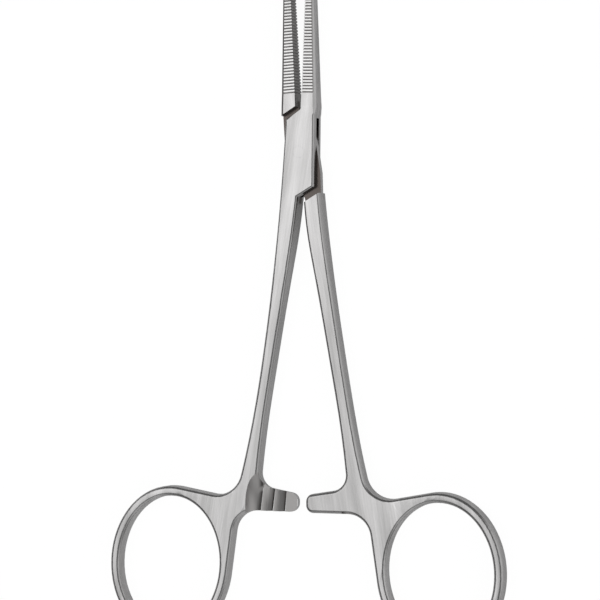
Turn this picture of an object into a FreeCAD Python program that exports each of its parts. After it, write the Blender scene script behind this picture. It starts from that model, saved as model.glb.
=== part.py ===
import FreeCAD, Part
import math
import os

V = FreeCAD.Vector

# Hemostat forceps with a box lock, drawn part open as it lies on a table.
# Origin: on the pivot, at the underside of the box lock.
# +Y runs from the pivot to the jaw tips, +X to the right, +Z out of the front face.
# Driving dimensions in millimetres and degrees.

# Thickness across the front and back faces
box_thickness = 3.9
grip_thickness = 3.0
tip_thickness = 2.5
heel_depth = 3.6
box_flat_front = 8.6
box_flat_rear = 10.5
shank_blend_length = 22.0

# Opening of the two halves in the drawn pose
jaw_turn = 2.72
jaw_lean = 0.70

# Jaws, measured with the jaws shut on the line x = 0
jaw_tip_y = 34.0
jaw_tip_width = 1.27
jaw_heel_y = 10.9
jaw_heel_width = 2.70
jaw_heel_gap = 0.15
jaw_root_y = 8.35
jaw_bevel_heel = 0.52
jaw_bevel_tip = 0.34
tip_round = 0.45

# Serrations round three sides of each jaw
tooth_pitch = 0.565
tooth_groove_width = 0.30
tooth_groove_depth = 0.17

# Box lock, its walls seen with the jaw on the left and the shank on the right
lock_half_width = 3.08
lock_front_corner = (2.56, 6.05)
lock_knee_y = 7.85
lock_knee_round = 0.6
lock_side_middle = (3.30, 4.00)
lock_rear_y = 6.45
lock_flare_y = 6.60
box_crotch = (0.26, 8.27)
shoulder_slope = 31.0
slot_wall = 1.30
slot_clearance = 0.03
slot_end_slope = 39.0
pin_diameter = 2.2
pin_running_clearance = 0.04
lock_edge_round = 0.45
lock_crown_round = 0.05

# Tongue that crosses the box lock, seen the same way
tongue_jaw_shoulder_y = 8.45
tongue_cheek = (3.00, 1.30)
tongue_cheek_middle = (2.42, 3.85)
tongue_waist_front = (1.60, 5.20)
tongue_waist_rear = (1.45, 5.00)
tongue_side_front = (3.50, 7.00)
tongue_hip = (3.82, 3.90)
tongue_shank_top = (3.92, 7.55)
tongue_neck = (0.64, 8.05)
tongue_crotch = (0.98, 9.30)

# Shank, ratchet arm and ring of each half, seen with the jaw on the left
shank_edge_round = 0.62
box_grip = {
    "inner_start": (1.67, 18.35),
    "inner_end": (6.25, 44.90),
    "outer": ((10.99, 56.50), (8.60, 44.90), (5.92, 27.20), (4.20, 13.90)),
    "arm_root": (8.45, 61.70),
    "arm_reach": 0.80,
    "arm_tip_round": 1.62,
    "ring_centre": (26.33, 76.55),
    "ring_lean": 6.0,
    "web_top_corner": (13.0, 64.20),
    "web_bottom_corner": (12.75, 66.30)}
tongue_grip = {
    "inner_start": (2.12, 18.35),
    "inner_end": (6.92, 44.90),
    "outer": ((11.71, 56.50), (9.46, 44.90), (6.56, 27.20), (4.60, 13.90)),
    "arm_root": (9.20, 61.70),
    "arm_reach": 1.19,
    "arm_tip_round": 1.4,
    "ring_centre": (26.85, 76.35),
    "ring_lean": 1.5,
    "web_top_corner": (13.7, 64.20),
    "web_bottom_corner": (13.15, 66.30)}
arm_top_y = 63.05
arm_bottom_y = 66.35
arm_root_round = 2.9
arm_pass_clearance = 0.06
web_top_round = 5.0
web_bottom_round = 4.4
ring_hole_half = (10.20, 12.60)
ring_bar = 1.85

# Ratchet on the arms
rack_teeth = 3
rack_pitch = 2.37
rack_depth = 0.62
rack_first = 8.0
rack_lead = 0.18
rack_land = 1.35
scoop_wall = 10.75
scoop_radius = 3.2
scoop_floor = 1.35
scoop_end_y = 65.8
scoop_lift_radius = 8.3

# Worked out from the above
mid_z = box_thickness / 2
pin_radius = pin_diameter / 2
slot_low = slot_wall
slot_high = box_thickness - slot_wall


def point(x, y, z=0.0):
    return V(x, y, z)


def turn_about_pivot(shape, degrees):
    """Turn a shape about the pivot axis."""
    turned = shape.copy()
    turned.rotate(V(0, 0, 0), V(0, 0, 1), degrees)
    return turned


def turned_xy(xy, degrees):
    """Turn a plan point about the pivot."""
    a = math.radians(degrees)
    x, y = xy
    return (x * math.cos(a) - y * math.sin(a), x * math.sin(a) + y * math.cos(a))


def smooth_middle(here, heading, end):
    """Middle point of the arc that leaves here along a heading and reaches end."""
    chord = end - here
    turn = heading.getAngle(chord)
    side = 1 if heading.cross(chord).z > 0 else -1
    bulge = chord.Length / 2 * math.tan(turn / 2)
    across = V(chord.y, -chord.x, 0).normalize()
    return here + chord * 0.5 + across * (side * bulge)


def face_of(steps):
    """Plan face from a start point and its steps.

    A step is a point for a straight line, (through, end) for an arc,
    ("smooth", end) for an arc that goes on smoothly, and ("curve", ...) for a free curve.
    """
    start = point(*steps[0])
    here = start
    edges = []
    for step in steps[1:]:
        if step[0] == "curve":
            spline = Part.BSplineCurve()
            spline.interpolate([here] + [point(*xy) for xy in step[1:]])
            edge = spline.toShape()
            end = point(*step[-1])
        elif step[0] == "smooth":
            end = point(*step[1])
            last = edges[-1]
            heading = last.tangentAt(last.LastParameter)
            edge = Part.Arc(here, smooth_middle(here, heading, end), end).toShape()
        elif isinstance(step[0], tuple):
            end = point(*step[1])
            edge = Part.Arc(here, point(*step[0]), end).toShape()
        else:
            end = point(*step)
            edge = Part.LineSegment(here, end).toShape()
        edges.append(edge)
        here = end
    if (here - start).Length > 1e-6:
        edges.append(Part.LineSegment(here, start).toShape())
    return Part.Face(Part.Wire(edges))


def slab(face, low, high):
    """Plan face pulled up between two heights."""
    moved = face.copy()
    moved.translate(V(0, 0, low))
    return moved.extrude(V(0, 0, high - low))


def oval(centre, half, lean):
    """Upright ellipse face, its long axis leaning by some degrees."""
    curve = Part.Ellipse(V(0, 0, 0), half[1], half[0])
    wire = Part.Wire([curve.toShape()])
    wire.rotate(V(0, 0, 0), V(0, 0, 1), 90 + lean)
    wire.translate(V(centre[0], centre[1], 0))
    return Part.Face(wire)


def shoulder_point(x, y, slope, run):
    """Point reached from (x, y) along a shoulder line."""
    a = math.radians(slope)
    return (x + run * math.cos(a), y + run * math.sin(a))


def jaw_edge(y):
    """Clamping edge of the right jaw, shut, at height y."""
    share = (jaw_tip_y - y) / (jaw_tip_y - jaw_heel_y)
    return jaw_heel_gap * share


def jaw_back(y):
    """Outer flank of the right jaw, shut, at height y."""
    share = (jaw_tip_y - y) / (jaw_tip_y - jaw_heel_y)
    return jaw_tip_width + (jaw_heel_gap + jaw_heel_width - jaw_tip_width) * share


def groove_starts():
    """Lower edge of each serration, from the heel to the tip."""
    count = int((jaw_tip_y - tip_round - jaw_heel_y) / tooth_pitch)
    return [jaw_heel_y + i * tooth_pitch for i in range(count)]


def jaw_face(root_y):
    """Plan face of the right jaw, shut, with its serrated clamping edge."""
    steps = [(jaw_edge(root_y), root_y)]
    steps.append((jaw_back(root_y), root_y))
    side_y = jaw_tip_y - 1.6 * tip_round
    steps.append((jaw_back(side_y), side_y))
    steps.append(((jaw_back(jaw_tip_y) * 0.82, jaw_tip_y - 0.35 * tip_round),
                  (jaw_back(jaw_tip_y) * 0.42, jaw_tip_y)))
    steps.append((jaw_edge(jaw_tip_y) + 0.1, jaw_tip_y - 0.05))
    for y in reversed(groove_starts()):
        top = y + tooth_groove_width
        deep = y + tooth_groove_width / 2
        steps.append((jaw_edge(top), top))
        steps.append((jaw_edge(deep) + tooth_groove_depth, deep))
        steps.append((jaw_edge(y), y))
    return face_of(steps)


def half_depth(y):
    """Half the jaw's depth at height y, seen from the side."""
    share = (y - jaw_heel_y) / (jaw_tip_y - jaw_heel_y)
    return (heel_depth + (tip_thickness - heel_depth) * share) / 2


def prism_between(upper, far_y):
    """Prism across X between an upper profile and its mirror image about the middle plane."""
    wide = 60.0
    edges = []
    for sign in (1, -1):
        for kind, *spots in upper:
            places = [V(-wide, y, mid_z + sign * offset) for y, offset in spots]
            if kind == "line":
                edges.append(Part.LineSegment(*places).toShape())
            else:
                edges.append(Part.Arc(*places).toShape())
    first_y, first = upper[0][1]
    last_y, last = upper[-1][-1]
    for y, offset in ((first_y, first), (last_y, last)):
        edges.append(Part.LineSegment(V(-wide, y, mid_z + offset),
                                      V(-wide, y, mid_z - offset)).toShape())
    face = Part.Face(Part.Wire(Part.__sortEdges__(edges)))
    return face.extrude(V(2 * wide, 0, 0))


def jaw_profile():
    """Depth of the jaws from the side, with the serrations cut into both faces."""
    past = jaw_tip_y + 1
    spots = [(past, half_depth(past))]
    for y in reversed(groove_starts()):
        top = y + tooth_groove_width
        deep = y + tooth_groove_width / 2
        spots.append((top, half_depth(top)))
        spots.append((deep, half_depth(deep) - tooth_groove_depth))
        spots.append((y, half_depth(y)))
    spots.append((box_flat_front, mid_z))
    spots.append((0, mid_z))
    upper = [("line", a, b) for a, b in zip(spots, spots[1:])]
    return prism_between(upper, 0)


def grip_profile():
    """Thickness of the box, shanks and rings from the side."""
    drop = mid_z - grip_thickness / 2
    quarter = shank_blend_length / 4
    start = -box_flat_rear
    middle = start - 2 * quarter
    end = start - 4 * quarter
    far_y = -box_grip["ring_centre"][1] - ring_hole_half[1] - 3 * ring_bar
    low = mid_z - drop
    upper = [("line", (2 * box_flat_front, mid_z), (start, mid_z))]
    upper.append(("arc", (start, mid_z), (start - quarter, mid_z - drop / 8),
                  (middle, mid_z - drop / 2)))
    upper.append(("arc", (middle, mid_z - drop / 2), (end + quarter, low + drop / 8),
                  (end, low)))
    upper.append(("line", (end, low), (far_y, low)))
    return prism_between(upper, far_y)


def touch_ring(grip, corner, side):
    """Where a line from a web corner touches the ring's outer edge, on its lower or upper side."""
    wide, tall = (half + ring_bar for half in ring_hole_half)
    centre = grip["ring_centre"]
    a = math.radians(grip["ring_lean"])
    dx = corner[0] - centre[0]
    dy = centre[1] - corner[1]
    across = (dx * math.cos(a) + dy * math.sin(a)) / wide
    along = (dy * math.cos(a) - dx * math.sin(a)) / tall
    turn = math.atan2(along, across) + side * math.acos(1 / math.hypot(across, along))
    across, along = wide * math.cos(turn), tall * math.sin(turn)
    return (centre[0] + across * math.cos(a) - along * math.sin(a),
            -centre[1] + across * math.sin(a) + along * math.cos(a))


def grip_steps(grip, crotch, top):
    """Plan steps of the right grip: down the shank, round the arm and web, and up to the top.

    The top is the list of points that end the shank's outer edge.
    """
    sx, sy = grip["inner_start"]
    ex, ey = grip["inner_end"]
    root = grip["arm_root"]
    reach = grip["arm_reach"]
    high, low = grip["web_top_corner"], grip["web_bottom_corner"]
    crotch_at = point(crotch[0], -crotch[1])
    start_at = point(sx, -sy)
    bow = smooth_middle(start_at, start_at - point(ex, -ey), crotch_at)
    outer = [(x, -y) for x, y in grip["outer"]]
    return [
        (crotch[0], -crotch[1]),
        ((bow.x, bow.y), (sx, -sy)),
        (ex, -ey),
        ("smooth", (root[0], -root[1])),
        (reach, -arm_top_y),
        (reach, -arm_bottom_y),
        (low[0], -low[1]),
        touch_ring(grip, low, 1),
        touch_ring(grip, high, -1),
        (high[0], -high[1]),
        ("curve", *outer, *top)]


def vertical_edges_near(shape, xy, reach=0.05):
    """Edges that stand upright at a plan point."""
    found = []
    for edge in shape.Edges:
        a, b = (v.Point for v in edge.Vertexes[:2]) if len(edge.Vertexes) > 1 else (None, None)
        if a is None or abs(a.x - b.x) > 1e-6 or abs(a.y - b.y) > 1e-6:
            continue
        if math.hypot(a.x - xy[0], a.y - xy[1]) < reach:
            found.append(edge)
    return found


def grip_slab(outline, grip, more_corners=()):
    """Shank, web and ring of one half, over-thick, with its plan corners rounded."""
    centre = (grip["ring_centre"][0], -grip["ring_centre"][1])
    outer = (ring_hole_half[0] + ring_bar, ring_hole_half[1] + ring_bar)
    lean = grip["ring_lean"]
    plan = outline.fuse(oval(centre, outer, lean)).removeSplitter()
    body = slab(plan.Faces[0], -1, box_thickness + 1)
    corners = [(grip["arm_root"], arm_root_round),
               (grip["web_top_corner"], web_top_round),
               (grip["web_bottom_corner"], web_bottom_round),
               ((grip["arm_reach"], arm_top_y), grip["arm_tip_round"]),
               ((grip["arm_reach"], arm_bottom_y), grip["arm_tip_round"])]
    for (x, y), radius in corners + list(more_corners):
        body = body.makeFillet(radius, vertical_edges_near(body, (x, -y)))
    hole = slab(oval(centre, ring_hole_half, lean), -2, box_thickness + 2)
    return body.cut(hole)


def edge_ends(edge):
    """Places and headings at both ends of an edge."""
    ends = []
    for at in (edge.FirstParameter, edge.LastParameter):
        ends.append((edge.valueAt(at), edge.tangentAt(at)))
    return ends


def runs_on(heading, other):
    """Whether two headings lie in one line, either way round."""
    return heading.cross(other).Length < 0.01


def smooth_chain(first, edges):
    """Edges that run on smoothly from the first one, each with True where it runs backwards."""
    chain = {first: False}
    for end_index in (1, 0):
        here = first
        leave = end_index
        while here is not None:
            spot, heading = edge_ends(edges[here])[leave]
            found = None
            for key, edge in edges.items():
                if key in chain:
                    continue
                for side, (place, along) in enumerate(edge_ends(edge)):
                    if (place - spot).Length < 1e-4 and runs_on(heading, along):
                        found = (key, side)
            if found is None:
                break
            here, arrive = found
            chain[here] = arrive == end_index
            leave = 1 - arrive
    return chain


def rounded(body, radius_at, sharp):
    """Round the edges of the front and back faces by a radius that may change with y.

    An edge that joins the two sharp plan points keeps its corner.
    """
    caps = []
    walls = []
    for face in body.Faces:
        u0, u1, v0, v1 = face.ParameterRange
        normal = face.normalAt((u0 + u1) / 2, (v0 + v1) / 2)
        group = caps if abs(normal.z) > 0.9 else walls
        group.extend(edge.hashCode() for edge in face.Edges)
    shared = set(caps) & set(walls)

    def is_sharp(spot):
        return any(math.hypot(spot.x - x, spot.y - y) < 0.01 for x, y in sharp)

    edges = {}
    for index, edge in enumerate(body.Edges, 1):
        (first, _), (last, _) = edge_ends(edge)
        if edge.hashCode() in shared and not (is_sharp(first) and is_sharp(last)):
            edges[index] = edge
    chosen = {}
    for index in edges:
        if index in chosen:
            continue
        for key, backwards in smooth_chain(index, edges).items():
            (first, _), (last, _) = edge_ends(edges[key])
            radii = [radius_at(first.y), radius_at(last.y)]
            chosen[key] = (key, *(reversed(radii) if backwards else radii))
    document = FreeCAD.newDocument("rounding")
    base = document.addObject("Part::Feature", "base")
    base.Shape = body
    fillet = document.addObject("Part::Fillet", "fillet")
    fillet.Base = base
    fillet.Edges = [chosen[key] for key in sorted(chosen)]
    document.recompute()
    result = fillet.Shape.copy()
    FreeCAD.closeDocument(document.Name)
    return result


def grip_round(y):
    """Edge round of the box, shank and ring at height y."""
    if y > lock_flare_y + 0.5:
        return lock_crown_round
    share = (-box_flat_rear - y) / shank_blend_length
    share = min(1, max(0, share))
    return lock_edge_round + (shank_edge_round - lock_edge_round) * share


def bevel_section(y, depth, bevel, sign):
    """Triangle across the front or back outer edge of the shut left jaw at height y."""
    over = 0.6
    x = -jaw_back(y)
    z = mid_z + sign * depth
    inner = V(x + bevel + over, y, z + sign * over)
    outer = V(x - over, y, z - sign * (bevel + over))
    corner = V(x - over, y, z + sign * over)
    return Part.makePolygon([inner, outer, corner, inner])


def jaw_bevels(turn):
    """What is cut from the outer edges of the left jaw, as far back as its shoulder."""
    past = jaw_tip_y + 1
    stations = [(box_flat_front - 1.5, mid_z, jaw_bevel_heel),
                (box_flat_front, mid_z, jaw_bevel_heel),
                (jaw_heel_y, half_depth(jaw_heel_y), jaw_bevel_heel),
                (past, half_depth(past), jaw_bevel_tip)]
    cutters = []
    for sign in (1, -1):
        for near, far in zip(stations, stations[1:]):
            ends = [bevel_section(*near, sign), bevel_section(*far, sign)]
            cutters.append(turn_about_pivot(Part.makeLoft(ends, True, True), turn))
    return cutters


def left_jaw(root_y, turn):
    """Left jaw with serrations on three sides, turned open."""
    jaw = slab(jaw_face(root_y), -1, box_thickness + 1).common(jaw_profile())
    return turn_about_pivot(mirrored(jaw), turn)


def mirrored(shape):
    """The same shape with left and right exchanged."""
    return shape.mirror(V(0, 0, 0), V(1, 0, 0))


def scoop():
    """Round-bottomed cut beside the ratchet, run out upwards into the shank."""
    centre = V(scoop_wall - scoop_reach(), -scoop_end_y, scoop_floor + scoop_radius)
    disc = Part.Face(Part.Wire([Part.Circle(centre, V(0, 1, 0), scoop_radius).toShape()]))
    straight = disc.extrude(V(0, -12, 0))
    hub = centre + V(0, 0, scoop_lift_radius)
    lifted = disc.revolve(hub, V(1, 0, 0), 75)
    return straight.fuse(lifted)


def scoop_reach():
    """How far the middle of the scoop lies from its edge on the front face."""
    face_z = mid_z + grip_thickness / 2
    return math.sqrt(scoop_radius ** 2 - (scoop_floor + scoop_radius - face_z) ** 2)


def rack_cutter():
    """What is cut from the front of the right arm: clearance above it, the scoop and teeth.

    The teeth are radial about the pivot, flat on top and steep on the side that faces the shank.
    """
    face_z = mid_z - arm_pass_clearance / 2
    above = box_thickness + 1
    radius = (arm_top_y + arm_bottom_y) / 2
    start = -radius + 6
    long = 12
    wide = 40
    first = math.degrees(rack_first / radius)
    shank_side = slab(face_of([(0, 0), (wide, 0), (wide, -2 * radius), (0, -2 * radius)]), -2, 9)
    cutter = scoop().common(turn_about_pivot(shank_side, first))
    clear = face_of([(0, start), (0, start - long), (-wide, start - long), (-wide, start)])
    cutter = cutter.fuse(turn_about_pivot(slab(clear, face_z, above), first))
    for i in range(rack_teeth - 1):
        valley = Part.Face(Part.makePolygon([
            V(-rack_land, start, above), V(-rack_land, start, face_z),
            V(rack_lead - rack_pitch, start, face_z - rack_depth),
            V(-rack_pitch, start, face_z), V(-rack_pitch, start, above),
            V(-rack_land, start, above)]))
        angle = math.degrees((rack_first - i * rack_pitch) / radius)
        cutter = cutter.fuse(turn_about_pivot(valley.extrude(V(0, -long, 0)), angle))
    return cutter


def slot_cutter(turn):
    """The through slot of the box lock, between its front and back walls."""
    corner = turned_xy((-jaw_edge(jaw_root_y), jaw_root_y), turn)
    low = (box_crotch[0], -box_crotch[1])
    left = shoulder_point(*corner, slot_end_slope, -8.0)
    right = shoulder_point(*low, slot_end_slope, 8.0)
    wide = 12.0
    plan = face_of([corner, left, (-wide, 0), (-wide, low[1]), low, right, (wide, 0),
                    (wide, wide), (corner[0], wide)])
    return slab(plan, slot_low, slot_high)


def bore(radius):
    """Pivot bore through the whole lock."""
    return Part.makeCylinder(radius, box_thickness + 2, V(0, 0, -1))


def upside_down(shape):
    """The same shape turned over about the middle plane."""
    return shape.mirror(V(0, 0, mid_z), V(0, 0, 1))


def box_half():
    """Half with the box lock: left ring, shank and arm, the two lock walls, the right jaw."""
    turn = jaw_turn - jaw_lean
    root_inner = turned_xy((-jaw_edge(jaw_root_y), jaw_root_y), turn)
    root_outer = turned_xy((-jaw_back(jaw_root_y), jaw_root_y), turn)
    side_middle = (lock_side_middle[0], -lock_side_middle[1])
    knee = turned_xy((-jaw_edge(lock_knee_y), lock_knee_y), turn)
    outline = face_of(
        grip_steps(box_grip, box_crotch, [side_middle, lock_front_corner])
        + [knee,
           root_inner,
           root_outer,
           (-lock_half_width, lock_flare_y),
           (-lock_half_width + 0.15, -lock_rear_y)])
    knee_corner = ((knee[0], -knee[1]), lock_knee_round)
    body = grip_slab(outline, box_grip, [knee_corner]).common(grip_profile())
    body = rounded(body, grip_round, (root_inner, root_outer))
    body = body.fuse(left_jaw(jaw_root_y, turn))
    body = body.cut(jaw_bevels(turn))
    body = body.cut(slot_cutter(turn))
    body = body.cut(bore(pin_radius))
    body = body.cut(rack_cutter())
    return mirrored(body.removeSplitter())


def tongue(turn):
    """Thin tongue that crosses the box lock from the jaw to the shank."""
    shoulder = turned_xy((-jaw_edge(tongue_jaw_shoulder_y), tongue_jaw_shoulder_y), turn)
    inside_y = tongue_jaw_shoulder_y + 0.5
    jaw_inner = turned_xy((-jaw_edge(inside_y), inside_y), turn)
    jaw_outer = turned_xy((-jaw_back(inside_y), inside_y), turn)
    cheek = tongue_cheek
    side = tongue_side_front
    top = (tongue_shank_top[0], -tongue_shank_top[1])
    crotch = (tongue_crotch[0], -tongue_crotch[1])
    plan = face_of([
        shoulder,
        tongue_waist_front,
        (tongue_cheek_middle, cheek),
        (tongue_hip[0], -tongue_hip[1]),
        top,
        (top[0], top[1] - 1.5),
        (crotch[0] + 0.6, crotch[1] - 0.6),
        crotch,
        (tongue_neck[0], -tongue_neck[1]),
        (-tongue_waist_rear[0], -tongue_waist_rear[1]),
        ((-tongue_cheek_middle[0], -tongue_cheek_middle[1]), (-cheek[0], -cheek[1])),
        (-side[0], side[1]),
        jaw_outer,
        jaw_inner])
    return slab(plan, slot_low + slot_clearance, slot_high - slot_clearance)


def tongue_half():
    """Half with the tongue: right ring, shank and arm, the tongue and the left jaw."""
    turn = jaw_turn + jaw_lean
    top = (tongue_shank_top[0], -tongue_shank_top[1])
    crotch = (tongue_crotch[0], -tongue_crotch[1])
    outline = face_of(grip_steps(tongue_grip, tongue_crotch, [top]))
    grip = grip_slab(outline, tongue_grip).common(grip_profile())
    grip = rounded(grip, grip_round, (crotch, top))
    shoulder = turned_xy((-jaw_edge(tongue_jaw_shoulder_y), tongue_jaw_shoulder_y), turn)
    wide = 8.0
    far = shoulder_point(*shoulder, shoulder_slope, wide)
    near = shoulder_point(*shoulder, shoulder_slope, -wide)
    below = face_of([far, near, (near[0], near[1] - wide), (far[0], near[1] - wide)])
    jaw = left_jaw(jaw_root_y - 3.5, turn).cut(slab(below, -2, box_thickness + 2))
    jaw = jaw.cut(jaw_bevels(turn))
    body = grip.fuse([jaw, tongue(turn)])
    body = body.cut(bore(pin_radius + pin_running_clearance))
    body = body.cut(upside_down(rack_cutter()))
    return body.removeSplitter()


def pivot_pin():
    """Pivot rivet, its ends ground flush with the lock's faces."""
    return Part.makeCylinder(pin_radius, box_thickness)


if __name__ == "__main__":
    os.makedirs("parts", exist_ok=True)
    box_half().exportStep("parts/box_half.step")
    tongue_half().exportStep("parts/tongue_half.step")
    pivot_pin().exportStep("parts/pivot_pin.step")
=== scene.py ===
"""Hemostat forceps in satin brushed stainless steel, lying on a white table."""

import logging
import math
from dataclasses import dataclass, field
from enum import Enum

import bmesh
import bpy
from mathutils import Matrix, Vector

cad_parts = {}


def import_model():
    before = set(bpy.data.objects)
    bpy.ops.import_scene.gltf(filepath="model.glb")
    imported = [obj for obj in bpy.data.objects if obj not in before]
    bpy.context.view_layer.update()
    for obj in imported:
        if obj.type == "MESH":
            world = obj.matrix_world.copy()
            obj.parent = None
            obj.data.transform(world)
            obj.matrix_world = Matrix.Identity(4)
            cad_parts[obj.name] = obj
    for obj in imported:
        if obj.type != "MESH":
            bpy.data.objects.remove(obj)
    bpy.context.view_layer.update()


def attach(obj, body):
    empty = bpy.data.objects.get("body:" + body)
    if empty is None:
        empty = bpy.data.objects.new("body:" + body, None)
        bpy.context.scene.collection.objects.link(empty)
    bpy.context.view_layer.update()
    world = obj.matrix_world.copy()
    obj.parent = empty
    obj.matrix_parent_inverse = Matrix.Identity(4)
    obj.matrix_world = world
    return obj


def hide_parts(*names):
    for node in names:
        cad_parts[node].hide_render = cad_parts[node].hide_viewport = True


MM = 0.001

Socket = bpy.types.NodeSocket

log = logging.getLogger("forceps")


class Lean(Enum):
    """Way that the brushing of a half runs, in degrees from +Y, along its shank."""

    LEFT_SHANK = -9.0
    RIGHT_SHANK = 9.0


@dataclass(frozen=True)
class BrushedSteel:
    """Satin stainless steel with fine brushing along one direction."""

    name: str
    lean: Lean
    colour: tuple[float, float, float] = (0.83, 0.82, 0.82)
    worn_colour: tuple[float, float, float] = (0.50, 0.495, 0.49)
    # Painted shade of the box lock's crevice, with a brownish patina.
    joint_patina_and_shade_colour: tuple[float, float, float] = (0.15, 0.13, 0.12)
    # Painted shade on the inward sides of the jaws and shanks and in the serration grooves.
    inner_shade_colour: tuple[float, float, float] = (0.52, 0.51, 0.505)
    rack_colour: tuple[float, float, float] = (0.64, 0.625, 0.615)
    # Painted shade in the ratchet valleys and on the left jaw's outer bevel.
    valley_shade_colour: tuple[float, float, float] = (0.16, 0.15, 0.145)
    # Painted highlight on the ratchet crests and the serration lands.
    crest_highlight_colour: tuple[float, float, float] = (0.95, 0.945, 0.94)
    roughness: float = 0.21
    rough_spread: float = 0.10
    ground_roughness: float = 0.38
    grain_width: float = 0.22 * MM
    grain_length: float = 6.0 * MM
    grain_depth: float = 0.006 * MM
    grain_strength: float = 0.5
    cloud_width: float = 2.6 * MM
    cloud_length: float = 26.0 * MM

    def material(self, tools: "SteelTools") -> bpy.types.Material:
        """Build the material.

        Args:
            tools: The node groups that every steel shares.

        Returns:
            The finished material.
        """
        made = bpy.data.materials.new(self.name)
        made.use_nodes = True
        nodes = made.node_tree.nodes
        links = made.node_tree.links
        shader = nodes["Principled BSDF"]
        shader.inputs["Metallic"].default_value = 1.0

        place = nodes.new("ShaderNodeTexCoord")
        turned = nodes.new("ShaderNodeMapping")
        turned.inputs["Rotation"].default_value = (0.0, 0.0, math.radians(-self.lean.value))
        links.new(place.outputs["Object"], turned.inputs["Vector"])

        grain = nodes.new("ShaderNodeGroup")
        grain.node_tree = tools.grain
        grain.inputs["Width"].default_value = 1.0 / self.grain_width
        grain.inputs["Length"].default_value = 1.0 / self.grain_length
        links.new(turned.outputs["Vector"], grain.inputs["Vector"])

        tone = nodes.new("ShaderNodeGroup")
        tone.node_tree = tools.tone
        tone.inputs["Colour"].default_value = (*self.colour, 1.0)
        tone.inputs["Worn colour"].default_value = (*self.worn_colour, 1.0)
        tone.inputs["Width"].default_value = 1.0 / self.cloud_width
        tone.inputs["Length"].default_value = 1.0 / self.cloud_length
        tone.inputs["Roughness"].default_value = self.roughness
        tone.inputs["Spread"].default_value = self.rough_spread
        links.new(turned.outputs["Vector"], tone.inputs["Vector"])
        links.new(grain.outputs["Streaks"], tone.inputs["Streaks"])

        marks = nodes.new("ShaderNodeGroup")
        marks.node_tree = tools.marks
        links.new(place.outputs["Object"], marks.inputs["Vector"])
        links.new(place.outputs["Normal"], marks.inputs["Normal"])
        colour = tone.outputs["Colour"]
        # The marks paint light and shade into the base colour: painted shade on the inner sides,
        # in the serration grooves, in the ratchet valleys and on the left jaw's outer bevel,
        # painted shade with a brownish patina in the box lock, painted highlights on the ratchet
        # crests and serration lands; the ground ratchet gets its own duller colour.
        for mask, worn in (("Inner shade", self.inner_shade_colour), ("Ratchet", self.rack_colour),
                           ("Valley shade", self.valley_shade_colour), ("Joint patina and shade", self.joint_patina_and_shade_colour),
                           ("Crest highlight", self.crest_highlight_colour)):
            step = self._mixed(made.node_tree, "RGBA", marks.outputs[mask])
            links.new(colour, step.inputs[6])
            step.inputs[7].default_value = (*worn, 1.0)
            colour = step.outputs[2]
        links.new(colour, shader.inputs["Base Color"])
        ground = self._mixed(made.node_tree, "FLOAT", marks.outputs["Ratchet"])
        links.new(tone.outputs["Roughness"], ground.inputs[2])
        ground.inputs[3].default_value = self.ground_roughness
        links.new(ground.outputs[0], shader.inputs["Roughness"])

        relief = nodes.new("ShaderNodeBump")
        relief.inputs["Distance"].default_value = self.grain_depth
        relief.inputs["Strength"].default_value = self.grain_strength
        links.new(grain.outputs["Streaks"], relief.inputs["Height"])
        links.new(relief.outputs["Normal"], shader.inputs["Normal"])
        return made

    @staticmethod
    def _mixed(tree: bpy.types.NodeTree, kind: str,
               factor: bpy.types.NodeSocket) -> bpy.types.ShaderNode:
        """Add a mix node whose factor comes from a mask.

        Args:
            tree: The material's tree.
            kind: FLOAT or RGBA.
            factor: The mask.

        Returns:
            The mix node, with its A and B inputs still free.
        """
        mixed = tree.nodes.new("ShaderNodeMix")
        mixed.data_type = kind
        tree.links.new(factor, mixed.inputs[0])
        return mixed


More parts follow.
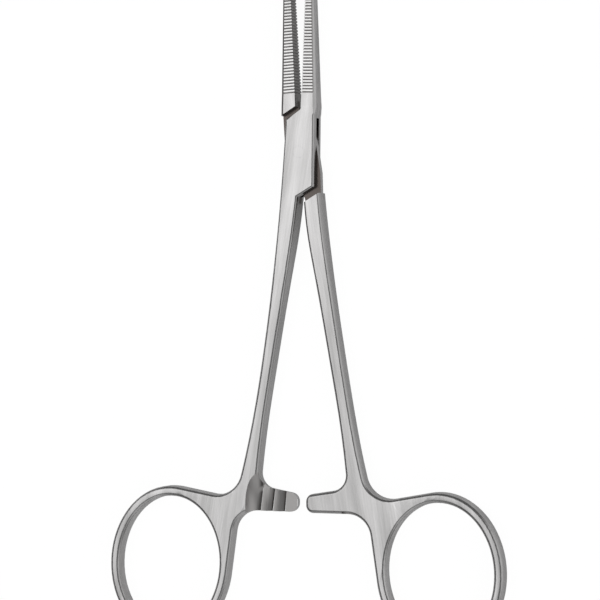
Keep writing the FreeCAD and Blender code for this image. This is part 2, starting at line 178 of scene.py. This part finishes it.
@dataclass
class SteelTools:
    """Node groups that the steels share: brushed grain, handled tone, and masks for painted shade,
    painted highlights, the joint's patina and the ground ratchet.
    """

    middle: float = 1.95 * MM
    joint_low: float = 0.585 * MM
    joint_high: float = 0.665 * MM
    joint_reach: float = 9.2 * MM
    scoop_depth: float = 1.46 * MM
    rack_depth: float = 0.75 * MM
    scoop_inside: float = 8.1 * MM
    scoop_half: tuple[float, float] = (2.7 * MM, 6.7 * MM)
    scoop_bottom: float = -65.8 * MM
    crest_first: float = 3.26 * MM
    crest_pitch: float = 2.37 * MM
    crest_radius: float = 64.7 * MM
    crest_half: float = 0.07 * MM
    valley_fade: float = 0.40
    jaw_heel: float = 10.9 * MM
    heel_half_depth: float = 1.80 * MM
    jaw_taper: float = 0.0238
    groove_depth: float = 0.19 * MM
    crotch: float = -9.0 * MM
    crotch_fade: float = 12.0 * MM
    crotch_top: float = 2.0 * MM
    rack_top: float = -50.0 * MM
    ground_edge: float = 0.02 * MM
    joint_edge: float = 0.01 * MM
    throat_half: float = 1.3 * MM
    valley_side: float = 9.2 * MM
    crest_depth: float = 0.12 * MM
    clamping_below_heel: float = 2.4 * MM
    shaded_below_heel: float = 4.2 * MM
    soft_edge: float = 0.2 * MM
    noise_range: tuple[float, float] = (0.3, 0.7)
    cloud_share: float = 0.6
    streak_share: float = 0.22
    grain: bpy.types.NodeTree = field(init=False)
    tone: bpy.types.NodeTree = field(init=False)
    marks: bpy.types.NodeTree = field(init=False)

    def __post_init__(self) -> None:
        """Build the groups once."""
        self.grain = self._grain_group()
        self.tone = self._tone_group()
        self.marks = self._marks_group()

    def _grain_group(self) -> bpy.types.NodeTree:
        """Long fine streaks along Y.

        Returns:
            A group with Vector, Width and Length in and Streaks out, from 0 to 1.
        """
        tree = bpy.data.node_groups.new("brushed_grain", "ShaderNodeTree")
        tree.interface.new_socket("Vector", in_out="INPUT", socket_type="NodeSocketVector")
        for name in ("Width", "Length"):
            tree.interface.new_socket(name, in_out="INPUT", socket_type="NodeSocketFloat")
        tree.interface.new_socket("Streaks", in_out="OUTPUT", socket_type="NodeSocketFloat")
        nodes, links = tree.nodes, tree.links
        given = nodes.new("NodeGroupInput")
        out = nodes.new("NodeGroupOutput")

        ratio = nodes.new("ShaderNodeCombineXYZ")
        links.new(given.outputs["Width"], ratio.inputs["X"])
        links.new(given.outputs["Length"], ratio.inputs["Y"])
        links.new(given.outputs["Width"], ratio.inputs["Z"])
        stretched = nodes.new("ShaderNodeVectorMath")
        stretched.operation = "MULTIPLY"
        links.new(given.outputs["Vector"], stretched.inputs[0])
        links.new(ratio.outputs["Vector"], stretched.inputs[1])

        noise = nodes.new("ShaderNodeTexNoise")
        noise.inputs["Scale"].default_value = 1.0
        noise.inputs["Detail"].default_value = 3.0
        noise.inputs["Roughness"].default_value = 0.65
        links.new(stretched.outputs["Vector"], noise.inputs["Vector"])
        spread = nodes.new("ShaderNodeMapRange")
        spread.inputs["From Min"].default_value = self.noise_range[0]
        spread.inputs["From Max"].default_value = self.noise_range[1]
        links.new(noise.outputs["Fac"], spread.inputs["Value"])
        links.new(spread.outputs["Result"], out.inputs["Streaks"])
        return tree

    def _tone_group(self) -> bpy.types.NodeTree:
        """Colour and roughness of steel that hands have dulled in soft clouds.

        Returns:
            A group that gives Colour and Roughness over the surface.
        """
        tree = bpy.data.node_groups.new("handled_tone", "ShaderNodeTree")
        tree.interface.new_socket("Vector", in_out="INPUT", socket_type="NodeSocketVector")
        for name in ("Streaks", "Width", "Length", "Roughness", "Spread"):
            tree.interface.new_socket(name, in_out="INPUT", socket_type="NodeSocketFloat")
        for name in ("Colour", "Worn colour"):
            tree.interface.new_socket(name, in_out="INPUT", socket_type="NodeSocketColor")
        tree.interface.new_socket("Colour", in_out="OUTPUT", socket_type="NodeSocketColor")
        tree.interface.new_socket("Roughness", in_out="OUTPUT", socket_type="NodeSocketFloat")
        nodes, links = tree.nodes, tree.links
        given = nodes.new("NodeGroupInput")
        out = nodes.new("NodeGroupOutput")

        ratio = nodes.new("ShaderNodeCombineXYZ")
        for name, axis in (("Width", "X"), ("Length", "Y"), ("Width", "Z")):
            links.new(given.outputs[name], ratio.inputs[axis])
        stretched = nodes.new("ShaderNodeVectorMath")
        stretched.operation = "MULTIPLY"
        links.new(given.outputs["Vector"], stretched.inputs[0])
        links.new(ratio.outputs["Vector"], stretched.inputs[1])
        clouds = nodes.new("ShaderNodeTexNoise")
        clouds.inputs["Scale"].default_value = 1.0
        clouds.inputs["Detail"].default_value = 2.0
        links.new(stretched.outputs["Vector"], clouds.inputs["Vector"])

        blend = nodes.new("ShaderNodeMath")
        blend.operation = "MULTIPLY_ADD"
        blend.inputs[1].default_value = self.streak_share
        links.new(given.outputs["Streaks"], blend.inputs[0])
        softened = nodes.new("ShaderNodeMapRange")
        softened.inputs["From Min"].default_value = self.noise_range[0]
        softened.inputs["From Max"].default_value = self.noise_range[1]
        softened.inputs["To Max"].default_value = self.cloud_share
        links.new(clouds.outputs["Fac"], softened.inputs["Value"])
        links.new(softened.outputs["Result"], blend.inputs[2])

        colour = nodes.new("ShaderNodeMix")
        colour.data_type = "RGBA"
        links.new(blend.outputs["Value"], colour.inputs["Factor"])
        links.new(given.outputs["Colour"], colour.inputs["A"])
        links.new(given.outputs["Worn colour"], colour.inputs["B"])
        links.new(colour.outputs["Result"], out.inputs["Colour"])

        rough = nodes.new("ShaderNodeMath")
        rough.operation = "MULTIPLY_ADD"
        links.new(blend.outputs["Value"], rough.inputs[0])
        links.new(given.outputs["Spread"], rough.inputs[1])
        links.new(given.outputs["Roughness"], rough.inputs[2])
        links.new(rough.outputs["Value"], out.inputs["Roughness"])
        return tree

    def _marks_group(self) -> bpy.types.NodeTree:
        """Masks of the places painted darker or brighter: painted shade in the box lock (with a
        brownish patina), on the inner sides, in the serration grooves, in the ratchet valleys and
        on the left jaw's outer bevel, painted highlights on the ratchet crests and serration
        lands, and the ground ratchet.

        Returns:
            A group with Vector and Normal in and the masks out.
        """
        tree = bpy.data.node_groups.new("painted_light_and_ground_marks", "ShaderNodeTree")
        for name in ("Vector", "Normal"):
            tree.interface.new_socket(name, in_out="INPUT", socket_type="NodeSocketVector")
        for name in ("Inner shade", "Ratchet", "Valley shade", "Joint patina and shade", "Crest highlight"):
            tree.interface.new_socket(name, in_out="OUTPUT", socket_type="NodeSocketFloat")
        given = tree.nodes.new("NodeGroupInput")
        out = tree.nodes.new("NodeGroupOutput")
        sums = Sums(tree)
        x, y, z = sums.split(given.outputs["Vector"])
        facing_x, _, facing_z = sums.split(given.outputs["Normal"])
        depth = sums.do("ABSOLUTE", sums.do("SUBTRACT", z, self.middle))
        side = sums.do("ABSOLUTE", x)
        upright = sums.below(sums.do("ABSOLUTE", facing_z), 0.15, 0.10)

        ratchet = self._ratchet(sums, side, y, depth, upright)
        tree.links.new(ratchet, out.inputs["Ratchet"])
        tree.links.new(self._joint(sums, x, y, depth), out.inputs["Joint patina and shade"])
        land, groove = self._serrations(sums, y, depth)
        crest, valley = self._rack(sums, side, y, depth)
        crest = sums.do("MULTIPLY", crest, ratchet)
        tree.links.new(sums.do("MAXIMUM", crest, land), out.inputs["Crest highlight"])
        # Painted shade on the inward sides, joined with the painted shade in the serration
        # grooves.
        inner = self._inner(sums, sums.do("MULTIPLY", x, facing_x), y)
        tree.links.new(sums.do("MAXIMUM", inner, groove), out.inputs["Inner shade"])
        valley = sums.do("MULTIPLY", valley, ratchet)
        # Painted shade on the sides that face -X, from a little below the jaw heel towards the
        # tip, sharing the valley shade colour.
        shaded = sums.do("MULTIPLY", sums.below(facing_x, -0.5, 0.1),
                         sums.above(y, self.jaw_heel - self.shaded_below_heel, self.soft_edge))
        tree.links.new(sums.do("MAXIMUM", valley, shaded), out.inputs["Valley shade"])
        return tree

    def _ratchet(self, sums: "Sums", side: Socket, y: Socket, depth: Socket,
                 upright: Socket) -> Socket:
        """Mask of the ground teeth and the scoop beside them.

        Args:
            sums: Builder of the sums.
            side: Distance from the middle line.
            y: Height in the row's frame.
            depth: Distance from the middle plane.
            upright: Mask of the walls.

        Returns:
            The mask.
        """
        across = sums.do("MAXIMUM", sums.do("SUBTRACT", side, self.scoop_inside), 0.0)
        up = sums.do("MAXIMUM", sums.do("SUBTRACT", y, self.scoop_bottom), 0.0)
        reach = sums.length(sums.do("DIVIDE", across, self.scoop_half[0]),
                            sums.do("DIVIDE", up, self.scoop_half[1]))
        inside = sums.below(reach, 0.97, 0.06)
        scoop = sums.do("MULTIPLY", sums.below(depth, self.scoop_depth, self.ground_edge),
                        sums.above(side, self.scoop_inside, self.ground_edge))
        rack = sums.below(depth, self.rack_depth, self.ground_edge)
        cut = sums.do("MULTIPLY", sums.do("MAXIMUM", scoop, rack), inside)
        low = sums.below(y, self.rack_top, 1.0 * MM)
        return sums.do("MULTIPLY", sums.do("MULTIPLY", cut, low), sums.invert(upright))

    def _joint(self, sums: "Sums", x: Socket, y: Socket, depth: Socket) -> Socket:
        """Mask of the faces that rub on each other inside the box lock and of its throat, which
        are painted dark: painted shade of the crevice, with a brownish patina.

        Args:
            sums: Builder of the sums.
            x: Sideways place.
            y: Height in the row's frame.
            depth: Distance from the middle plane.

        Returns:
            The mask.
        """
        between = sums.below(depth, self.joint_high, self.joint_edge)
        faces = sums.do("MULTIPLY", between, sums.above(depth, self.joint_low, self.joint_edge))
        near = sums.below(sums.length(x, y), self.joint_reach, 0.6 * MM)
        middle = sums.below(sums.do("ABSOLUTE", x), self.throat_half, self.soft_edge)
        throat = sums.do("MULTIPLY", between, middle)
        return sums.do("MULTIPLY", sums.do("MAXIMUM", faces, throat), near)

    def _serrations(self, sums: "Sums", y: Socket, depth: Socket) -> tuple[Socket, Socket]:
        """Masks of the lands and the grooves of the jaws: a painted highlight on the lands and
        painted shade in the grooves.

        Args:
            sums: Builder of the sums.
            y: Height in the row's frame.
            depth: Distance from the middle plane.

        Returns:
            The mask of the lands and that of the grooves.
        """
        past = sums.above(y, self.jaw_heel, self.ground_edge)
        taper = sums.do("MULTIPLY", sums.do("SUBTRACT", y, self.jaw_heel), self.jaw_taper)
        height = sums.do("ADD", depth, taper)
        land = sums.above(height, self.heel_half_depth - 0.025 * MM, 0.015 * MM)
        deep = sums.above(height, self.heel_half_depth - self.groove_depth, self.ground_edge)
        groove = sums.do("MULTIPLY", deep, sums.invert(land))
        return sums.do("MULTIPLY", land, past), sums.do("MULTIPLY", groove, past)

    def _rack(self, sums: "Sums", side: Socket, y: Socket,
              depth: Socket) -> tuple[Socket, Socket]:
        """Masks of a painted highlight along the crest line of each ratchet tooth and of painted
        shade in the valley beside it.

        Args:
            sums: Builder of the sums.
            side: Distance from the middle line.
            y: Height in the row's frame.
            depth: Distance from the middle plane.

        Returns:
            The mask of the crests and that of the valleys.
        """
        turn = sums.do("ARCTAN2", side, sums.do("MULTIPLY", y, -1.0))
        along = sums.do("MULTIPLY", turn, self.crest_radius / self.crest_pitch)
        along = sums.do("SUBTRACT", along, self.crest_first / self.crest_pitch - 0.5)
        off = sums.do("SUBTRACT", sums.do("FRACT", along), 0.5)
        half = self.crest_half / self.crest_pitch
        line = sums.below(sums.do("ABSOLUTE", off), half, 0.3 * half)
        crest = sums.do("MULTIPLY", line, sums.below(depth, self.crest_depth, self.ground_edge))
        beside = sums.do("MULTIPLY", sums.above(off, 0.0, half),
                         sums.below(off, 2.0 * half, self.valley_fade))
        beside = sums.do("MULTIPLY", beside, sums.below(side, self.valley_side, 0.3 * MM))
        sunk = sums.above(depth, 0.03 * MM, self.soft_edge)
        return crest, sums.do("MULTIPLY", beside, sunk)

    def _inner(self, sums: "Sums", facing: Socket, y: Socket) -> Socket:
        """Mask of painted shade on the clamping sides of the jaws and on the sides above the
        crotch, where the two halves face each other closely.

        Args:
            sums: Builder of the sums.
            facing: Sideways place times sideways normal, below zero where a side faces inward.
            y: Height in the row's frame.

        Returns:
            The mask.
        """
        inward = sums.below(facing, -0.15 * MM, 0.1 * MM)
        jaws = sums.above(y, self.jaw_heel - self.clamping_below_heel, self.soft_edge)
        rising = sums.above(y, self.crotch - self.crotch_fade, self.crotch_fade)
        ending = sums.below(y, self.crotch + self.crotch_top, self.soft_edge)
        shanks = sums.do("MULTIPLY", rising, ending)
        return sums.do("MULTIPLY", inward, sums.do("MAXIMUM", jaws, shanks))


@dataclass
class Sums:
    """Short way to write sums on sockets inside a node tree."""

    tree: bpy.types.NodeTree

    def split(self, vector: Socket) -> tuple[Socket, Socket, Socket]:
        """Give the three parts of a vector."""
        parts = self.tree.nodes.new("ShaderNodeSeparateXYZ")
        self.tree.links.new(vector, parts.inputs["Vector"])
        return parts.outputs["X"], parts.outputs["Y"], parts.outputs["Z"]

    def do(self, kind: str, first: Socket, second: Socket | float = 0.0) -> Socket:
        """Add a math node.

        Args:
            kind: The node's operation.
            first: Its first value.
            second: Its second value, where it has one.

        Returns:
            The result.
        """
        made = self.tree.nodes.new("ShaderNodeMath")
        made.operation = kind
        self.tree.links.new(first, made.inputs[0])
        if isinstance(second, float):
            made.inputs[1].default_value = second
        else:
            self.tree.links.new(second, made.inputs[1])
        return made.outputs["Value"]

    def length(self, across: Socket, along: Socket) -> Socket:
        """Give the length of a flat vector."""
        flat = self.tree.nodes.new("ShaderNodeCombineXYZ")
        self.tree.links.new(across, flat.inputs["X"])
        self.tree.links.new(along, flat.inputs["Y"])
        reach = self.tree.nodes.new("ShaderNodeVectorMath")
        reach.operation = "LENGTH"
        self.tree.links.new(flat.outputs["Vector"], reach.inputs[0])
        return reach.outputs["Value"]

    def above(self, value: Socket, limit: float, fade: float) -> Socket:
        """Give a mask that rises from 0 at a limit to 1 past a fade.

        Args:
            value: The value to test.
            limit: Where the rise starts.
            fade: How long it takes.

        Returns:
            The mask.
        """
        made = self.tree.nodes.new("ShaderNodeMapRange")
        made.interpolation_type = "SMOOTHSTEP"
        made.inputs["From Min"].default_value = limit
        made.inputs["From Max"].default_value = limit + fade
        self.tree.links.new(value, made.inputs["Value"])
        return made.outputs["Result"]

    def below(self, value: Socket, limit: float, fade: float) -> Socket:
        """Give a mask that falls from 1 at a limit to 0 past a fade.

        Args:
            value: The value to test.
            limit: Where the fall starts.
            fade: How long it takes.

        Returns:
            The mask.
        """
        return self.invert(self.above(value, limit, fade))

    def invert(self, mask: Socket) -> Socket:
        """Give 1 minus a mask."""
        made = self.tree.nodes.new("ShaderNodeMath")
        made.operation = "SUBTRACT"
        made.inputs[0].default_value = 1.0
        self.tree.links.new(mask, made.inputs[1])
        return made.outputs["Value"]


@dataclass(frozen=True)
class Trim:
    """Crumb of metal that is filed down: corners inside the box go to one height."""

    low: Vector
    high: Vector
    height: float

    def apply(self, work: bmesh.types.BMesh) -> None:
        """File the crumb off a mesh."""
        for corner in work.verts:
            if all(a <= v <= b for a, v, b in zip(self.low, corner.co, self.high)):
                corner.co.z = self.height


@dataclass
class SteelPiece:
    """One forged or turned piece of the forceps, copied from its solid and dressed."""

    node: str
    body: str
    slot: str
    finish: BrushedSteel
    trims: tuple[Trim, ...] = ()
    edge_break: float = 0.07 * MM
    edge_angle: float = math.radians(38.0)
    merge_distance: float = 0.0005 * MM

    def build(self, tools: SteelTools) -> bpy.types.Object:
        """Copy the piece's solid, join its faces, break its edges and dress it.

        Args:
            tools: The node groups of the steels.

        Returns:
            The finished object, which rides on the piece's body.
        """
        mesh = self._joined_mesh()
        made = bpy.data.objects.new(f"{self.node}_steel", mesh)
        bpy.context.scene.collection.objects.link(made)
        self._break_edges(made)
        mesh.materials.clear()
        mesh.materials.append(self.finish.material(tools))
        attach(made, self.body)
        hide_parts(self.node)
        return made

    def _joined_mesh(self) -> bpy.types.Mesh:
        """Trim and merge the loose triangles of the solid, and shade its round faces smooth.

        Returns:
            A new mesh in the row's frame.
        """
        source = bpy.data.objects[self.node].data
        work = bmesh.new()
        work.from_mesh(source)
        for trim in self.trims:
            trim.apply(work)
        bmesh.ops.remove_doubles(work, verts=work.verts, dist=self.merge_distance)
        for face in work.faces:
            face.smooth = True
        for edge in work.edges:
            edge.smooth = len(edge.link_faces) != 2 or edge.calc_face_angle(0.0) < self.edge_angle
        mesh = bpy.data.meshes.new(f"{self.node}_steel")
        work.to_mesh(mesh)
        work.free()
        return mesh

    def _break_edges(self, made: bpy.types.Object) -> None:
        """Break the crisp edges as far as the mesh's shortest edges let them, and keep flats flat.

        Args:
            made: The object to finish.
        """
        broken = made.modifiers.new("broken_edges", "BEVEL")
        broken.width = self.edge_break
        broken.segments = 2
        broken.limit_method = "ANGLE"
        broken.angle_limit = self.edge_angle
        broken.use_clamp_overlap = True
        broken.miter_outer = "MITER_ARC"
        flats = made.modifiers.new("flat_faces", "WEIGHTED_NORMAL")
        flats.keep_sharp = True
        flats.weight = 80


@dataclass
class Forceps:
    """The whole instrument: the two halves that cross at the box lock, and their pin."""

    pieces: tuple[SteelPiece, ...] = (
        SteelPiece("box_half", "box_side", "satin_steel",
                   BrushedSteel("satin_steel_left", Lean.LEFT_SHANK)),
        SteelPiece("tongue_half", "tongue_side", "satin_steel",
                   BrushedSteel("satin_steel_right", Lean.RIGHT_SHANK),
                   trims=(
                       Trim(Vector((-3.60, 6.60, 3.80)) * MM, Vector((-3.45, 6.97, 4.00)) * MM,
                            3.38 * MM),
                       Trim(Vector((-3.60, 6.60, -0.10)) * MM, Vector((-3.45, 6.97, 0.10)) * MM,
                            0.52 * MM))),
        SteelPiece("pivot_pin", "box_side", "pin_steel",
                   BrushedSteel("pin_steel", Lean.LEFT_SHANK), edge_break=0.01 * MM),
    )

    def build(self) -> list[bpy.types.Object]:
        """Build every piece in turn.

        Returns:
            The finished objects.
        """
        tools = SteelTools()
        made = []
        for piece in self.pieces:
            made.append(piece.build(tools))
            log.info("built %s", piece.node)
        return made


@dataclass(frozen=True)
class Glow:
    """Soft round light far off in one direction, full inside one angle and gone past another."""

    way: Vector
    full: float
    gone: float
    strength: float


@dataclass(frozen=True)
class Lamp:
    """Square lamp that faces the forceps: its place and side in metres, its power in watts."""

    name: str
    place: Vector
    side: float
    power: float


@dataclass
class Studio:
    """White table, soft light from above and the camera that looks down on the forceps."""

    aim: Vector = field(default_factory=lambda: Vector((-0.42, -27.21, 1.95)) * MM)
    camera_swing: float = math.radians(21.0)
    camera_distance: float = 440.0 * MM
    field_of_view: float = 2.0 * math.atan(300.0 / 2385.0)
    table_size: float = 2.4
    table_colour: float = 0.88
    table_glow: float = 0.80
    table_glow_strength: float = 1.19
    table_in_metal: float = 0.14
    room: float = 0.13
    key: Lamp = Lamp("key", Vector((-0.82, 0.30, 0.72)), 0.34, 0.3)
    glows: tuple[Glow, ...] = (
        Glow(Vector((-0.41, 0.09, 0.91)), math.radians(8.0), math.radians(24.0), 1.14),
        Glow(Vector((0.88, 0.10, 0.45)), math.radians(16.0), math.radians(44.0), 0.55),
        Glow(Vector((0.15, -0.85, 0.50)), math.radians(14.0), math.radians(44.0), 0.40),
    )

    def build(self) -> None:
        """Set up the table, the light and the camera."""
        self._table()
        self._sky()
        self._lamp()
        self._camera()
        log.info("built studio")

    def _table(self) -> None:
        """Wide pale table top at z = 0."""
        work = bmesh.new()
        bmesh.ops.create_grid(work, x_segments=1, y_segments=1, size=self.table_size / 2)
        mesh = bpy.data.meshes.new("table")
        work.to_mesh(mesh)
        work.free()
        table = bpy.data.objects.new("table", mesh)
        bpy.context.scene.collection.objects.link(table)
        mesh.materials.append(self._table_material())

    def _table_material(self) -> bpy.types.Material:
        """Matt white that the camera sees as background and that keeps the shadow.

        Returns:
            The table's material.
        """
        made = bpy.data.materials.new("table_white")
        made.use_nodes = True
        nodes, links = made.node_tree.nodes, made.node_tree.links
        nodes.clear()
        rays = nodes.new("ShaderNodeLightPath")
        matt = nodes.new("ShaderNodeBsdfDiffuse")
        matt.inputs["Color"].default_value = (*[self.table_colour] * 3, 1.0)
        glow = nodes.new("ShaderNodeEmission")
        glow.inputs["Strength"].default_value = self.table_glow_strength
        share = None
        for ray, amount in (("Is Camera Ray", self.table_glow),
                            ("Is Glossy Ray", self.table_in_metal)):
            added = nodes.new("ShaderNodeMath")
            added.operation = "MULTIPLY_ADD"
            added.inputs[1].default_value = amount
            added.inputs[2].default_value = 0.0
            links.new(rays.outputs[ray], added.inputs[0])
            if share is not None:
                links.new(share, added.inputs[2])
            share = added.outputs["Value"]
        seen = nodes.new("ShaderNodeMixShader")
        links.new(share, seen.inputs["Fac"])
        links.new(matt.outputs["BSDF"], seen.inputs[1])
        links.new(glow.outputs["Emission"], seen.inputs[2])
        out = nodes.new("ShaderNodeOutputMaterial")
        links.new(seen.outputs["Shader"], out.inputs["Surface"])
        return made

    def _sky(self) -> None:
        """Dim room with its soft lights, and white to the camera."""
        world = bpy.data.worlds.new("studio")
        bpy.context.scene.world = world
        world.use_nodes = True
        nodes, links = world.node_tree.nodes, world.node_tree.links
        nodes.clear()
        way = nodes.new("ShaderNodeTexCoord")
        total = None
        for glow in self.glows:
            toward = nodes.new("ShaderNodeVectorMath")
            toward.operation = "DOT_PRODUCT"
            toward.inputs[1].default_value = glow.way.normalized()
            links.new(way.outputs["Generated"], toward.inputs[0])
            lit = nodes.new("ShaderNodeMapRange")
            lit.interpolation_type = "SMOOTHSTEP"
            lit.inputs["From Min"].default_value = math.cos(glow.gone)
            lit.inputs["From Max"].default_value = math.cos(glow.full)
            lit.inputs["To Max"].default_value = glow.strength
            links.new(toward.outputs["Value"], lit.inputs["Value"])
            added = nodes.new("ShaderNodeMath")
            added.inputs[1].default_value = self.room
            links.new(lit.outputs["Result"], added.inputs[0])
            if total is not None:
                links.new(total, added.inputs[1])
            total = added.outputs["Value"]
        rays = nodes.new("ShaderNodeLightPath")
        level = nodes.new("ShaderNodeMix")
        links.new(rays.outputs["Is Camera Ray"], level.inputs["Factor"])
        links.new(total, level.inputs["A"])
        level.inputs["B"].default_value = 1.0
        sky = nodes.new("ShaderNodeBackground")
        links.new(level.outputs["Result"], sky.inputs["Strength"])
        out = nodes.new("ShaderNodeOutputWorld")
        links.new(sky.outputs["Background"], out.inputs["Surface"])

    def _lamp(self) -> None:
        """Soft key lamp at the upper left, which lights the rims that face it."""
        data = bpy.data.lights.new(self.key.name, "AREA")
        data.size = self.key.side
        data.energy = self.key.power
        lamp = bpy.data.objects.new(self.key.name, data)
        bpy.context.scene.collection.objects.link(lamp)
        lamp.location = self.key.place
        toward = self.aim - self.key.place
        lamp.rotation_euler = toward.to_track_quat("-Z", "Y").to_euler()

    def _camera(self) -> None:
        """Camera above the table, swung to the right, with +Y up in its picture."""
        back = Vector((math.sin(self.camera_swing), 0.0, math.cos(self.camera_swing)))
        up = Vector((0.0, 1.0, 0.0))
        right = up.cross(back)
        data = bpy.data.cameras.new("camera")
        data.sensor_fit = "HORIZONTAL"
        data.angle = self.field_of_view
        camera = bpy.data.objects.new("camera", data)
        bpy.context.scene.collection.objects.link(camera)
        camera.matrix_world = (
            Matrix.Translation(self.aim + back * self.camera_distance)
            @ Matrix((right, up, back)).transposed().to_4x4()
        )
        bpy.context.scene.camera = camera


def main() -> None:
    """Build the forceps and the studio round them."""
    logging.basicConfig(level=logging.INFO)
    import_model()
    bpy.context.scene.view_settings.view_transform = "Standard"
    Forceps().build()
    Studio().build()
    bpy.context.view_layer.update()


if __name__ == "__main__":
    main()
